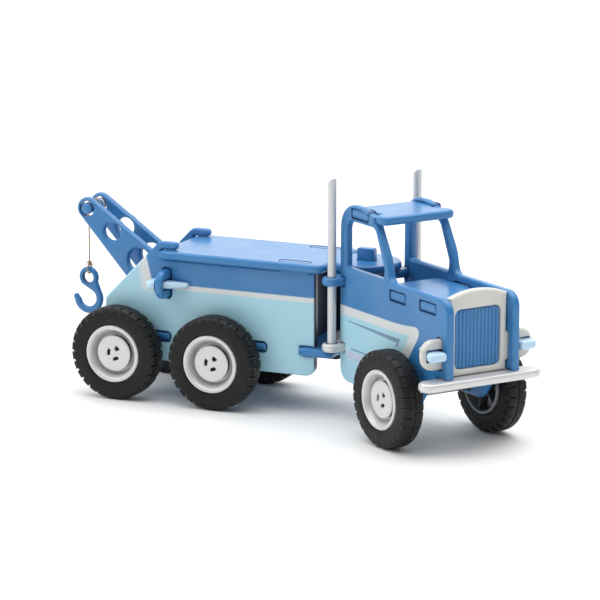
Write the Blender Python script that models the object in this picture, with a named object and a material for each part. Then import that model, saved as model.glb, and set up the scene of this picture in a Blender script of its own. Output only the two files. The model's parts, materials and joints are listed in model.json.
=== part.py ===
"""Slot-together toy tow truck with a swivelling cab, six tyred wheels and a hanging tow hook.

Every panel is 6 mm board. The rear body stands along X with its nose at +X, and the cab turns
about the vertical pivot post. Lengths below are in millimetres and become metres in MM.
"""
import math

import bmesh
import bpy
from mathutils import Matrix, Vector

MM = 0.001
GAP = 0.3

# Overall stations, measured from the pivot post
BOARD = 6.0
HALF_WIDTH = 29.0
INNER = HALF_WIDTH - BOARD
CAB_TURN = math.radians(-33.94)
PIVOT_X = 37.5
PIVOT_Y = 33.56
AXLE_Z = 33.0
FRONT_AXLE_X = 90.4
REAR_AXLES_X = (-172.1, -96.5)

# Levels of the horizontal boards (underside of each)
CHASSIS_Z = 41.4
FLOOR_Z = CHASSIS_Z + BOARD + GAP
DECK_Z = 100.1
SWIVEL_Z = DECK_Z - GAP - BOARD
HOOD_Z = 95.45
HOOD_REAR = -35.0
ROOF_Z = 143.0

# Rear body
BODY_FRONT = -26.1
BODY_REAR = -187.9
BODY_BOTTOM = 26.7
DECK_REAR = -143.5
DECK_FRONT = -19.3
DECK_HALF = 34.0
DECK_NOSE_RADIUS = 24.0
DECK_TAB = (-53.2, -31.2)
CHASSIS_TABS = ((-159.8, -136.8), (-85.9, -62.9))
CHASSIS_EAR = (-37.5, -12.0)
CHASSIS_EAR_HALF = 33.5
CROSS_X = -139.0
CROSS_EAR_Z = 83.0
BULKHEAD_X = -41.0
PIVOT_SLOT_RADIUS = 7.4

# Tusk tenon ears and their wedge keys
EAR_HALF_HEIGHT = 10.2
EAR_REACH = 43.6
EAR_CORNER = 8.8
KEY_HEAD = 11.0
KEY_TIP = 18.0
REAR_KEY_REACH = 44.6
HEADLAMP_KEY_REACH = {-1: 45.2, 1: 49.8}
KEY_TIP_REACH = 33.0
KEY_SLOT_REACH = 42.0
KEY_WAIST = 4.0
KEY_WAIST_REACH = 41.5

# Cab, measured along the cab from the front axle
CAB_REAR = -79.5
CAB_FRONT = 50.2
CAB_BOTTOM = 27.6
GRILLE_X = 41.0
GRILLE_HALF = 18.0
GRILLE_OPENING = (58.3, 98.2)
GRILLE_RIBS = 12
HEADLAMP_Z = 70.2
HOOD_TABS = ((-17.2, 0.3), (18.2, 36.0))
ROOF_TAB = (-64.5, -44.9)
BUMPER_HALF = 47.2
BUMPER_DEPTH = 15.0
BUMPER_FRONT = 53.9

# Exhaust stacks
STACK_X = 9.8
STACK_Y = 34.6
STACK_RADIUS = 3.0
STACK_BORE = 2.2
STACK_TOP = 165.8
STACK_BOTTOM = FLOOR_Z + GAP
STACK_RING = 6.75

# Boom and tow line
BOOM_INNER = 7.0
BOOM_TIP = (-210.2, 127.0)
BOOM_TIP_RADIUS = 7.9
DOWEL_RADIUS = 4.1
DOWEL_HOLE = 5.0
STRING_RADIUS = 0.6
STRING_WRAP = DOWEL_RADIUS + GAP + STRING_RADIUS
KNOT_Z = 86.35
KNOT_RADIUS = 1.5
HOOK_EYE = (-215.6, 74.7)
HOOK_EYE_RADIUS = 7.6
HOOK_EYE_HOLE = 3.8
HOOK_THICKNESS = 4.0

# Wheels
TYRE_RADIUS = 33.0
WHEEL_OUTER = 49.6
WHEEL_INNER = 33.3
RIM_RADIUS = 20.4
HUB_RADIUS = 12.7
AXLE_RADIUS = 2.0
WHEEL_STEPS = 28
ARC_STEP = math.radians(24)

PAINT = {
    "blue": ((0.065, 0.215, 0.47), 0.3, 0.0),
    "navy": ((0.02, 0.05, 0.16), 0.35, 0.0),
    "two_tone": ((0.3, 0.5, 0.62), 0.3, 0.0),
    "cream": ((0.68, 0.69, 0.66), 0.35, 0.0),
    "pale_blue": ((0.5, 0.7, 0.85), 0.3, 0.0),
    "silver": ((0.62, 0.62, 0.62), 0.35, 0.6),
    "steel": ((0.6, 0.6, 0.62), 0.25, 1.0),
    "rubber": ((0.025, 0.025, 0.028), 0.7, 0.0),
    "rim": ((0.75, 0.76, 0.78), 0.3, 0.1),
    "string": ((0.6, 0.45, 0.3), 0.9, 0.0),
}


def clear_scene():
    for item in list(bpy.data.objects):
        bpy.data.objects.remove(item, do_unlink=True)


def paint(name):
    material = bpy.data.materials.get(name)
    if material is None:
        colour, roughness, metallic = PAINT[name]
        material = bpy.data.materials.new(name)
        material.use_nodes = True
        shader = material.node_tree.nodes["Principled BSDF"]
        shader.inputs["Base Color"].default_value = (*colour, 1.0)
        shader.inputs["Roughness"].default_value = roughness
        shader.inputs["Metallic"].default_value = metallic
    return material


def empty(name, parent=None, x=0.0, y=0.0, z=0.0, turn=0.0):
    item = bpy.data.objects.new(name, None)
    item.location = (x * MM, y * MM, z * MM)
    item.rotation_euler = (0.0, 0.0, turn)
    item.parent = parent
    bpy.context.scene.collection.objects.link(item)
    return item


def add(name, mesh, material, parent, x=0.0, y=0.0, z=0.0):
    bmesh.ops.recalc_face_normals(mesh, faces=mesh.faces)
    data = bpy.data.meshes.new(name)
    mesh.to_mesh(data)
    mesh.free()
    data.materials.append(paint(material))
    data.shade_smooth()
    data.set_sharp_from_angle(angle=math.radians(35))
    item = bpy.data.objects.new(name, data)
    item.location = (x * MM, y * MM, z * MM)
    item.parent = parent
    bpy.context.scene.collection.objects.link(item)
    return item


def rounded(corners):
    """Outline through corners (a, b) or (a, b, radius), each round one drawn as an arc."""
    points = []
    count = len(corners)
    for i, corner in enumerate(corners):
        here = Vector(corner[:2])
        radius = corner[2] if len(corner) > 2 else 0.0
        if radius == 0.0:
            points.append(here)
            continue
        before = (Vector(corners[i - 1][:2]) - here).normalized()
        after = (Vector(corners[(i + 1) % count][:2]) - here).normalized()
        half = before.angle(after) / 2
        start = here + before * radius / math.tan(half)
        end = here + after * radius / math.tan(half)
        centre = here + (before + after).normalized() * radius / math.sin(half)
        arm = start - centre
        sweep = math.copysign(math.pi - 2 * half, arm.cross(end - centre))
        steps = max(2, math.ceil(abs(sweep) / ARC_STEP))
        for step in range(steps + 1):
            points.append(centre + Matrix.Rotation(sweep * step / steps, 2) @ arm)
    return points


def circle(a, b, radius, steps=20):
    turns = (2 * math.pi * step / steps for step in range(steps))
    return [Vector((a + radius * math.cos(t), b + radius * math.sin(t))) for t in turns]


def box(a0, a1, b0, b1, radius=0.0):
    return rounded([(a0, b0, radius), (a1, b0, radius), (a1, b1, radius), (a0, b1, radius)])


LAY = {
    "side": lambda a, b, t: (a, t, b),
    "flat": lambda a, b, t: (a, b, t),
    "cross": lambda a, b, t: (t, a, b),
}


def board(outlines, lay, low, high):
    """Mesh of a board: the first outline is its edge, the others are holes through it."""
    mesh = bmesh.new()
    for outline in outlines:
        ring = [mesh.verts.new([c * MM for c in LAY[lay](p[0], p[1], low)]) for p in outline]
        for i, vert in enumerate(ring):
            mesh.edges.new((ring[i - 1], vert))
    bmesh.ops.triangle_fill(mesh, edges=mesh.edges, use_beauty=True, use_dissolve=False)
    grown = bmesh.ops.extrude_face_region(mesh, geom=mesh.faces[:])
    lift = Vector(LAY[lay](0, 0, (high - low) * MM))
    moved = [item for item in grown["geom"] if isinstance(item, bmesh.types.BMVert)]
    bmesh.ops.translate(mesh, verts=moved, vec=lift)
    return mesh


def turned(profile, steps):
    """Closed ring turned about Y from a closed (radius, y) profile."""
    mesh = bmesh.new()
    verts = [mesh.verts.new((r * MM, y * MM, 0.0)) for r, y in profile]
    edges = [mesh.edges.new((verts[i - 1], verts[i])) for i in range(len(verts))]
    bmesh.ops.spin(
        mesh,
        geom=verts + edges,
        cent=(0, 0, 0),
        axis=(0, 1, 0),
        angle=2 * math.pi,
        steps=steps,
        use_merge=True,
    )
    bmesh.ops.remove_doubles(mesh, verts=mesh.verts, dist=0.00001)
    return mesh


def rod(radius, low, high, steps=20):
    return board([circle(0, 0, radius, steps)], "side", low, high)


# Rear body

def side_outline():
    top = DECK_Z - GAP
    notch = (CHASSIS_Z - GAP, CHASSIS_Z + BOARD + GAP)
    tab_top = DECK_Z + BOARD
    return rounded([
        (BODY_FRONT, BODY_BOTTOM, 8),
        (BODY_FRONT, notch[0]),
        (CHASSIS_EAR[0] - GAP, notch[0]),
        (CHASSIS_EAR[0] - GAP, notch[1]),
        (BODY_FRONT, notch[1]),
        (BODY_FRONT, top),
        (DECK_TAB[1], top),
        (DECK_TAB[1], tab_top),
        (DECK_TAB[0], tab_top),
        (DECK_TAB[0], top),
        (DECK_REAR - GAP, top),
        (DECK_REAR - GAP, tab_top + GAP),
        (-131.5, tab_top + GAP, 2.6),
        (-131.5, 111.9, 2.6),
        (-145.1, 111.9, 6),
        (BODY_REAR, 68.1, 6),
        (BODY_REAR, BODY_BOTTOM, 8),
    ])


def side_holes():
    holes = [circle(x, AXLE_Z, AXLE_RADIUS + GAP, 16) for x in REAR_AXLES_X]
    for start, end in CHASSIS_TABS:
        holes.append(box(start - GAP, end + GAP, CHASSIS_Z - GAP, CHASSIS_Z + BOARD + GAP))
    ear = EAR_HALF_HEIGHT + GAP
    reach = BOARD / 2 + GAP
    holes.append(box(CROSS_X - reach, CROSS_X + reach, CROSS_EAR_Z - ear, CROSS_EAR_Z + ear))
    return holes


def rear_sides(root):
    for name, low in (("side_panel_right", -HALF_WIDTH), ("side_panel_left", INNER)):
        mesh = board([side_outline(), *side_holes()], "side", low, low + BOARD)
        add(name, mesh, "two_tone", root)


def deck(root):
    nose = math.acos(DECK_FRONT / DECK_NOSE_RADIUS)
    steps = 22
    turns = [nose * (1 - 2 * step / steps) for step in range(steps + 1)]
    arc = [(DECK_NOSE_RADIUS * math.cos(t), DECK_NOSE_RADIUS * math.sin(t)) for t in turns]
    outline = rounded([
        *arc,
        (DECK_FRONT, -DECK_HALF, 6),
        (DECK_REAR, -DECK_HALF, 3),
        (DECK_REAR, DECK_HALF, 3),
        (DECK_FRONT, DECK_HALF, 6),
    ])
    slots = []
    for side in (-1, 1):
        inner, outer = sorted((side * (INNER - GAP), side * (HALF_WIDTH + GAP)))
        slots.append(box(DECK_TAB[0] - GAP, DECK_TAB[1] + GAP, inner, outer))
    slots.append(box(-POST_HALF - GAP, POST_HALF + GAP, -BOARD / 2 - GAP, BOARD / 2 + GAP))
    add("deck_panel", board([outline, *slots], "flat", DECK_Z, DECK_Z + BOARD), "blue", root)


def mirrored(half):
    """Outline closed from its +Y half, listed from front to rear."""
    other = [(corner[0], -corner[1], *corner[2:]) for corner in reversed(half)]
    return rounded([*half, *other])


def chassis(root):
    inside = INNER - GAP
    half = [(22, 12, 9), (CHASSIS_EAR[1], 18), (CHASSIS_EAR[1], CHASSIS_EAR_HALF, 6)]
    half += [(CHASSIS_EAR[0], CHASSIS_EAR_HALF, 4), (CHASSIS_EAR[0], inside)]
    for start, end in reversed(CHASSIS_TABS):
        half += [(end, inside), (end, HALF_WIDTH), (start, HALF_WIDTH), (start, inside)]
    half.append((-182, inside, 3))
    slot = box(-POST_HALF - GAP, POST_HALF + GAP, -BOARD / 2 - GAP, BOARD / 2 + GAP)
    mesh = board([mirrored(half), slot], "flat", CHASSIS_Z, CHASSIS_Z + BOARD)
    add("chassis_plate", mesh, "blue", root)


def bulkhead(root):
    inside = INNER - GAP
    outline = box(-inside, inside, CHASSIS_Z + BOARD + GAP, DECK_Z - GAP)
    low = BULKHEAD_X - BOARD / 2
    add("front_bulkhead", board([outline], "cross", low, low + BOARD), "navy", root)


def ear_outline(inside, bottom, top, ear_z):
    """Cross panel between the sides, with a rounded ear through each of them."""
    low = ear_z - EAR_HALF_HEIGHT
    high = ear_z + EAR_HALF_HEIGHT
    return [
        (inside, bottom),
        (inside, low),
        (EAR_REACH, low, EAR_CORNER),
        (EAR_REACH, high, EAR_CORNER),
        (inside, high),
        *top,
        (-inside, high),
        (-EAR_REACH, high, EAR_CORNER),
        (-EAR_REACH, low, EAR_CORNER),
        (-inside, low),
        (-inside, bottom),
    ]


def key_slots(ear_z):
    half = BOARD / 2 + GAP
    reach = (HALF_WIDTH + GAP, KEY_SLOT_REACH)
    right = box(-reach[1], -reach[0], ear_z - half, ear_z + half, 1.0)
    left = box(reach[0], reach[1], ear_z - half, ear_z + half, 1.0)
    return [right, left]


def rear_cross(root):
    inside = INNER - GAP
    top = DECK_Z - GAP
    bottom = CHASSIS_Z + BOARD + GAP
    outline = rounded(ear_outline(inside, bottom, [(inside, top), (-inside, top)], CROSS_EAR_Z))
    slots = key_slots(CROSS_EAR_Z)
    for low in (-BOOM_INNER - BOARD, BOOM_INNER):
        slots.append(box(low - GAP, low + BOARD + GAP, BOOM_TAB[0] - GAP, BOOM_TAB[1] + GAP))
    low = CROSS_X - BOARD / 2
    add("rear_cross_panel", board([outline, *slots], "cross", low, low + BOARD), "blue", root)


def wedge_key(name, parent, ear_x, ear_z, side, ahead, reach):
    """Wedge through an ear, its wide head on the side away from `ahead`."""
    inner = HALF_WIDTH + 2 * GAP
    corners = [
        (ear_x - ahead * KEY_HEAD, side * inner, 2),
        (ear_x - ahead * KEY_HEAD, side * reach, 4),
        (ear_x - ahead * KEY_WAIST, side * KEY_WAIST_REACH),
        (ear_x + ahead * KEY_TIP, side * KEY_TIP_REACH, 2),
        (ear_x + ahead * KEY_TIP, side * inner, 1),
    ]
    mesh = board([rounded(corners)], "flat", ear_z - BOARD / 2, ear_z + BOARD / 2)
    add(name, mesh, "pale_blue", parent)


# Pivot post: a flat bar with a wide foot, standing in round holes of the cab boards
POST_HALF = 6.35
POST_TOP = 114.6
POST_FOOT = (35.4, 41.1)


def pivot_post(root):
    outline = rounded([
        (-10, POST_FOOT[0], 1.5),
        (10, POST_FOOT[0], 1.5),
        (10, POST_FOOT[1]),
        (POST_HALF, POST_FOOT[1]),
        (POST_HALF, POST_TOP, 1.5),
        (-POST_HALF, POST_TOP, 1.5),
        (-POST_HALF, POST_FOOT[1]),
        (-10, POST_FOOT[1]),
    ])
    add("pivot_post", board([outline], "side", -BOARD / 2, BOARD / 2), "blue", root)


# Boom
BOOM_TAB = (66.0, 82.0)
BOOM_LOW = (-161.5, 60.0)
BOOM_HOLES = ((-190.2, 111.8, 6.7), (-169.4, 93.2, 8.7))


def boom(root):
    back = CROSS_X - BOARD / 2 - GAP
    front = CROSS_X + BOARD / 2
    tip_x, tip_z = BOOM_TIP
    upper = math.radians(55.4)
    lower = math.radians(220.8)
    steps = 7
    tip = []
    for step in range(steps + 1):
        t = upper + (lower - upper) * step / steps
        tip.append((tip_x + BOOM_TIP_RADIUS * math.cos(t), tip_z + BOOM_TIP_RADIUS * math.sin(t)))
    outline = rounded([
        *tip,
        (*BOOM_LOW, 4),
        (back, BOOM_LOW[1]),
        (back, BOOM_TAB[0]),
        (front, BOOM_TAB[0]),
        (front, BOOM_TAB[1]),
        (back, BOOM_TAB[1]),
        (back, 89.3),
    ])
    holes = [circle(x, z, radius) for x, z, radius in BOOM_HOLES]
    holes.append(circle(tip_x, tip_z, DOWEL_HOLE, 16))
    for name, low in (("boom_plate_right", -BOOM_INNER - BOARD), ("boom_plate_left", BOOM_INNER)):
        add(name, board([outline, *holes], "side", low, low + BOARD), "blue", root)


def winch_dowel(root):
    x, z = BOOM_TIP
    winch = empty("winch_axis", root, x=x, z=z)
    half = BOOM_INNER + BOARD
    add("winch_dowel", rod(DOWEL_RADIUS, -half, half, 16), "blue", winch)


# Tow line

def string_points():
    """Centre line over the dowel from its front and straight down to the knot."""
    x, z = BOOM_TIP
    wrap = 8
    points = []
    for step in range(wrap + 1):
        t = math.pi * step / wrap
        points.append((x + STRING_WRAP * math.cos(t), z + STRING_WRAP * math.sin(t)))
    drop = z - (KNOT_Z + KNOT_RADIUS + GAP)
    fall = 6
    for step in range(1, fall + 1):
        points.append((x - STRING_WRAP, z - drop * step / fall))
    return points


def tube(name, points, radius, material, parent, closed=False):
    curve = bpy.data.curves.new(name, "CURVE")
    curve.dimensions = "3D"
    curve.bevel_depth = radius * MM
    curve.bevel_resolution = 2
    curve.use_fill_caps = not closed
    line = curve.splines.new("POLY")
    line.points.add(len(points) - 1)
    line.use_cyclic_u = closed
    for point, place in zip(line.points, points):
        point.co = (*[c * MM for c in place], 1.0)
    curve.materials.append(paint(material))
    item = bpy.data.objects.new(name, curve)
    item.parent = parent
    bpy.context.scene.collection.objects.link(item)
    return item


def tow_line(root):
    x, z = BOOM_TIP
    swing = empty("tow_line_axis", root, x=x, z=z)
    route = [(px - x, 0.0, pz - z) for px, pz in string_points()]
    tube("tow_string", route, STRING_RADIUS, "string", swing)
    knot = bmesh.new()
    bmesh.ops.create_icosphere(knot, subdivisions=1, radius=KNOT_RADIUS * MM)
    line_x = -STRING_WRAP
    add("string_knot", knot, "string", swing, x=line_x, z=KNOT_Z - z)
    bar_low = HOOK_EYE[1] + HOOK_EYE_HOLE
    bar_high = HOOK_EYE[1] + HOOK_EYE_RADIUS
    middle = (bar_low + bar_high) / 2
    across = HOOK_THICKNESS / 2 + STRING_RADIUS + 0.5
    upright = (bar_high - bar_low) / 2 + STRING_RADIUS + 0.4
    corners = box(-across, across, middle - z - upright, middle - z + upright, 1.3)
    loop = [(line_x, y, height) for y, height in corners]
    tube("string_loop", loop, STRING_RADIUS, "string", swing, closed=True)
    tilt = empty("hook_axis", swing, x=HOOK_EYE[0] - x, z=middle - z)
    hook(tilt, HOOK_EYE[0], middle)


def hook(parent, axis_x, axis_z):
    """Flat hook: an eye, a neck to the right and a round belly that rises to a blunt tip."""
    ex, ez = HOOK_EYE
    belly = (ex - 0.4, ez - 15.2)
    outline = []
    for step in range(15):
        t = math.radians(-22 + 250 * step / 14)
        outline.append((ex + HOOK_EYE_RADIUS * math.cos(t), ez + HOOK_EYE_RADIUS * math.sin(t)))
    inner = 6.2
    for step in range(12):
        t = math.radians(62 - 232 * step / 11)
        outline.append((belly[0] + inner * math.cos(t), belly[1] + inner * math.sin(t)))
    outline.append((belly[0] - 9.0, belly[1] + 2.4))
    outline.append((belly[0] - 11.2, belly[1] + 2.2))
    outline.append((belly[0] - 11.9, belly[1] + 0.2))
    outer = 11.5
    for step in range(15):
        t = math.radians(-165 + 195 * step / 14)
        outline.append((belly[0] + outer * math.cos(t), belly[1] + outer * math.sin(t)))
    points = [(a - axis_x, b - axis_z) for a, b in outline]
    eye = circle(ex - axis_x, ez - axis_z, HOOK_EYE_HOLE, 16)
    half = HOOK_THICKNESS / 2
    add("tow_hook", board([points, eye], "side", -half, half), "blue", parent)


# Cab: outlines are measured from the front axle and placed by the cab's own empty

def cab_outline():
    notch = STACK_X - FRONT_AXLE_X + STACK_RING + GAP
    swivel = (SWIVEL_Z - GAP, SWIVEL_Z + BOARD + GAP)
    floor = (FLOOR_Z - GAP, FLOOR_Z + BOARD + GAP)
    visor = (ROOF_Z - GAP, ROOF_Z + BOARD + GAP)
    return rounded([
        (CAB_FRONT, floor[1]),
        (CAB_FRONT, 106.8, 10),
        (-17.8, 106.8, 6),
        (-22.0, 122.0, 18),
        (-34.6, visor[0]),
        (VISOR_BACK - GAP, visor[0]),
        (VISOR_BACK - GAP, 147.0),
        (-54.0, 151.5, 15),
        (CAB_REAR, 151.3, 17),
        (CAB_REAR, swivel[1]),
        (notch, swivel[1]),
        (notch, swivel[0]),
        (CAB_REAR, swivel[0]),
        (CAB_REAR, floor[1]),
        (notch, floor[1]),
        (notch, floor[0]),
        (CAB_REAR, floor[0]),
        (CAB_REAR, CAB_BOTTOM, 10),
        (13, CAB_BOTTOM, 6),
        (25, 43.5, 6),
        (36, 43.5),
        (36, floor[1]),
    ])


def cab_holes():
    window = rounded([
        (-71.8, 107.4, 2),
        (-71.8, 140.0, 6.5),
        (-37.2, 140.0, 6),
        (-25.4, 114.5, 4),
        (-26.4, 107.4, 2),
    ])
    holes = [window, circle(0, AXLE_Z, AXLE_RADIUS + GAP, 16)]
    for start, end in HOOD_TABS:
        holes.append(box(start - GAP, end + GAP, HOOD_Z - GAP, HOOD_Z + BOARD + GAP, 0.6))
    holes.append(box(ROOF_TAB[0] - GAP, ROOF_TAB[1] + GAP, ROOF_Z - GAP, ROOF_Z + BOARD + GAP, 0.6))
    ear = EAR_HALF_HEIGHT + GAP
    reach = BOARD / 2 + GAP
    low, high = HEADLAMP_Z - ear, HEADLAMP_Z + ear
    holes.append(box(GRILLE_X - reach, GRILLE_X + reach, low, high))
    return holes


VISOR_BACK = -37.5
VISOR_FRONT = -25.5
VISOR_HALF = 29.4


def cab_sides(front):
    for name, low in (("cab_side_right", -HALF_WIDTH), ("cab_side_left", INNER)):
        mesh = board([cab_outline(), *cab_holes()], "side", low, low + BOARD)
        add(name, mesh, "two_tone", front)


def roof(front):
    inside = INNER - GAP
    half = [
        (VISOR_FRONT, VISOR_HALF, 5),
        (VISOR_BACK, VISOR_HALF, 5),
        (VISOR_BACK, inside),
        (ROOF_TAB[1], inside),
        (ROOF_TAB[1], HALF_WIDTH, 1),
        (ROOF_TAB[0], HALF_WIDTH, 1),
        (ROOF_TAB[0], inside),
        (-67.5, inside, 2),
    ]
    add("roof_panel", board([mirrored(half)], "flat", ROOF_Z, ROOF_Z + BOARD), "blue", front)


def hood(front):
    inside = INNER - GAP
    half = [(GRILLE_X - BOARD / 2 - GAP, inside)]
    for start, end in reversed(HOOD_TABS):
        half += [(end, inside), (end, HALF_WIDTH, 1), (start, HALF_WIDTH, 1), (start, inside)]
    half.append((HOOD_REAR, inside, 1))
    add("hood_panel", board([mirrored(half)], "flat", HOOD_Z, HOOD_Z + BOARD), "blue", front)


def grille(front):
    inside = INNER - GAP
    bottom = FLOOR_Z + BOARD + GAP
    arch = []
    steps = 8
    for step in range(steps + 1):
        y = inside * (1 - 2 * step / steps)
        arch.append((y, 106.5 + 4.3 * (1 - (y / inside) ** 2)))
    outline = rounded(ear_outline(inside, bottom, arch, HEADLAMP_Z))
    opening = box(-GRILLE_HALF, GRILLE_HALF, *GRILLE_OPENING, 4.5)
    low = GRILLE_X - BOARD / 2
    mesh = board([outline, *key_slots(HEADLAMP_Z), opening], "cross", low, low + BOARD)
    add("grille_panel", mesh, "cream", front)
    ribbed_insert(front)


def ribbed_insert(front):
    """Insert whose face is a row of vertical ribs, clear of the grille's opening."""
    half = GRILLE_HALF - GAP
    low, high = GRILLE_OPENING[0] + GAP, GRILLE_OPENING[1] - GAP
    pitch = 2 * half / GRILLE_RIBS
    back = GRILLE_X - 2.5
    valley = GRILLE_X + 0.6
    crest = GRILLE_X + 1.8
    plan = [(back, -half), (valley, -half)]
    for rib in range(GRILLE_RIBS):
        start = -half + rib * pitch
        plan.append((crest, start + pitch * 0.35))
        plan.append((crest, start + pitch * 0.65))
        plan.append((valley, start + pitch))
    plan.append((back, half))
    insert = add("grille_insert", board([plan], "flat", low, high), "blue", front)
    mould = board([box(-half, half, low, high, 4.4)], "cross", back - 1, crest + 1)
    cutter = add("grille_insert_outline", mould, "blue", front)
    cutter.hide_render = True
    cutter.display_type = "WIRE"
    trim = insert.modifiers.new("rounded corners", "BOOLEAN")
    trim.operation = "INTERSECT"
    trim.object = cutter


def swivel_plate(cab):
    """Upper cab board: a disc about the post and an eyelet round each stack."""
    outline = eyelet_outline(STACK_X + STACK_RING, [])
    holes = stack_holes()
    add("swivel_plate", board([outline, *holes], "flat", SWIVEL_Z, SWIVEL_Z + BOARD), "blue", cab)


def eyelet_outline(front_x, nose):
    """Outline through the eyelets and a disc behind them, with an optional nose ahead."""
    inside = INNER - GAP
    ring = []
    steps = 8
    for step in range(steps + 1):
        t = math.pi / 2 - math.pi * step / steps
        ring.append((STACK_X + STACK_RING * math.sin(t), STACK_Y + STACK_RING * math.cos(t)))
    disc = 22.0
    start = math.acos((STACK_X - STACK_RING) / disc)
    back = []
    for step in range(7):
        t = start + (math.pi - start) * step / 6
        back.append((disc * math.cos(t), disc * math.sin(t)))
    half = [*nose, (front_x, inside), *ring, *back[:-1]]
    outline = [(corner[0], corner[1], *corner[2:]) for corner in half]
    outline.append(back[-1])
    outline += [(corner[0], -corner[1], *corner[2:]) for corner in reversed(half)]
    return rounded(outline)


def stack_holes():
    holes = [circle(STACK_X, side * STACK_Y, STACK_RADIUS + GAP, 16) for side in (-1, 1)]
    holes.append(circle(0, 0, PIVOT_SLOT_RADIUS, 24))
    return holes


def floor_plate(cab):
    """Lower cab board: bumper in front, eyelets for the stacks behind."""
    inside = INNER - GAP
    front = FRONT_AXLE_X + BUMPER_FRONT
    back = front - BUMPER_DEPTH
    corner = BUMPER_DEPTH / 2 - 0.1
    nose = [(front, BUMPER_HALF, corner), (back, BUMPER_HALF, corner), (back, inside)]
    outline = eyelet_outline(STACK_X + STACK_RING, nose)
    mesh = board([outline, *stack_holes()], "flat", FLOOR_Z, FLOOR_Z + BOARD)
    add("bumper_floor_plate", mesh, "silver", cab)


def stacks(cab):
    """Open tubes with a slanted mouth, higher at the front."""
    slant = 0.82
    for name, side in (("exhaust_stack_right", -1), ("exhaust_stack_left", 1)):
        rings = [circle(0, 0, STACK_RADIUS, 16), circle(0, 0, STACK_BORE, 16)]
        mesh = board(rings, "flat", STACK_BOTTOM, STACK_TOP)
        for vert in mesh.verts:
            if vert.co.z > STACK_TOP * MM / 2:
                vert.co.z += slant * vert.co.x
        add(name, mesh, "steel", cab, x=STACK_X, y=side * STACK_Y)


# Wheels: profiles are (radius, distance from the truck's middle)

def tyre_profile(side):
    mid = (WHEEL_OUTER + WHEEL_INNER) / 2
    half = (WHEEL_OUTER - WHEEL_INNER) / 2
    shape = [
        (RIM_RADIUS, -0.8), (24.0, -1.0), (29.8, -0.98), (TYRE_RADIUS, -0.6),
        (TYRE_RADIUS, 0.6), (29.8, 0.98), (24.0, 1.0), (RIM_RADIUS, 0.8),
    ]
    return [(r, side * (mid + half * t)) for r, t in shape]


def rim_profile(side):
    outer = RIM_RADIUS - GAP
    face = WHEEL_OUTER
    floor = face - 7.5
    shape = [
        (AXLE_RADIUS + GAP, HALF_WIDTH + 2 * GAP), (6.0, HALF_WIDTH + 2 * GAP), (6.0, floor - 3.5),
        (17.5, floor - 3.5), (18.3, WHEEL_INNER - 1.0), (outer, WHEEL_INNER - 1.0),
        (outer, face), (18.0, face), (14.2, floor), (AXLE_RADIUS + GAP, floor),
    ]
    return [(r, side * y) for r, y in shape]


def hub_profile(side):
    floor = WHEEL_OUTER - 7.5 + GAP
    face = WHEEL_OUTER - 2.6
    shape = [
        (0.0, floor + 2.5), (AXLE_RADIUS + GAP, floor + 2.5), (AXLE_RADIUS + GAP, floor),
        (HUB_RADIUS, floor), (HUB_RADIUS, face), (0.0, face),
    ]
    return [(r, side * y) for r, y in shape]


def solid_turned(profile, steps):
    """Solid turned about Y from an open (radius, y) profile that starts and ends on the axis."""
    mesh = bmesh.new()
    rings = []
    for r, y in profile:
        if r == 0.0:
            rings.append([mesh.verts.new((0.0, y * MM, 0.0))])
            continue
        ring = []
        for step in range(steps):
            t = 2 * math.pi * step / steps
            ring.append(mesh.verts.new((r * MM * math.cos(t), y * MM, r * MM * math.sin(t))))
        rings.append(ring)
    for one, two in zip(rings, rings[1:]):
        for i in range(steps):
            j = (i + 1) % steps
            corners = [one[i % len(one)], one[j % len(one)], two[j % len(two)], two[i % len(two)]]
            mesh.faces.new(list(dict.fromkeys(corners)))
    return mesh


def wheel_set(name, parent, x):
    axis = empty(f"{name}_axis", parent, x=x, z=AXLE_Z)
    reach = WHEEL_OUTER - 7.5 + GAP + 2.0
    add(f"{name}_axle", rod(AXLE_RADIUS, -reach, reach, 12), "steel", axis)
    for label, side in (("right", -1), ("left", 1)):
        add(f"{name}_tyre_{label}", turned(tyre_profile(side), WHEEL_STEPS), "rubber", axis)
        add(f"{name}_rim_{label}", turned(rim_profile(side), WHEEL_STEPS), "rim", axis)
        hub = solid_turned(hub_profile(side), WHEEL_STEPS)
        add(f"{name}_hub_{label}", hub, "rim", axis)


def build():
    clear_scene()
    root = empty("truck", x=PIVOT_X, y=PIVOT_Y)
    rear_sides(root)
    deck(root)
    chassis(root)
    bulkhead(root)
    rear_cross(root)
    for label, side in (("right", -1), ("left", 1)):
        wedge_key(f"rear_key_{label}", root, CROSS_X, CROSS_EAR_Z, side, 1, REAR_KEY_REACH)
    pivot_post(root)
    boom(root)
    winch_dowel(root)
    tow_line(root)
    cab = empty("cab_axis", root, turn=CAB_TURN)
    front = empty("cab_front_axle", cab, x=FRONT_AXLE_X)
    cab_sides(front)
    roof(front)
    hood(front)
    grille(front)
    for label, side in (("right", -1), ("left", 1)):
        reach = HEADLAMP_KEY_REACH[side]
        wedge_key(f"headlamp_key_{label}", front, GRILLE_X, HEADLAMP_Z, side, -1, reach)
    swivel_plate(cab)
    floor_plate(cab)
    stacks(cab)
    wheel_set("rearmost", root, REAR_AXLES_X[0])
    wheel_set("middle", root, REAR_AXLES_X[1])
    wheel_set("front", front, 0.0)


build()
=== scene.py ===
"""Looks of the slot-together toy tow truck: rounded painted boards, treaded tyres, rims and twine.

Shapes are built in millimetres in three frames. REAR has its origin under the pivot post, CAB under
the middle of the front axle, turned with the cab, and each wheel set is built about its own axle.
"""
import json
import math
import random

import bmesh
import bpy
from mathutils import Matrix, Vector
from mathutils.geometry import delaunay_2d_cdt


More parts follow.
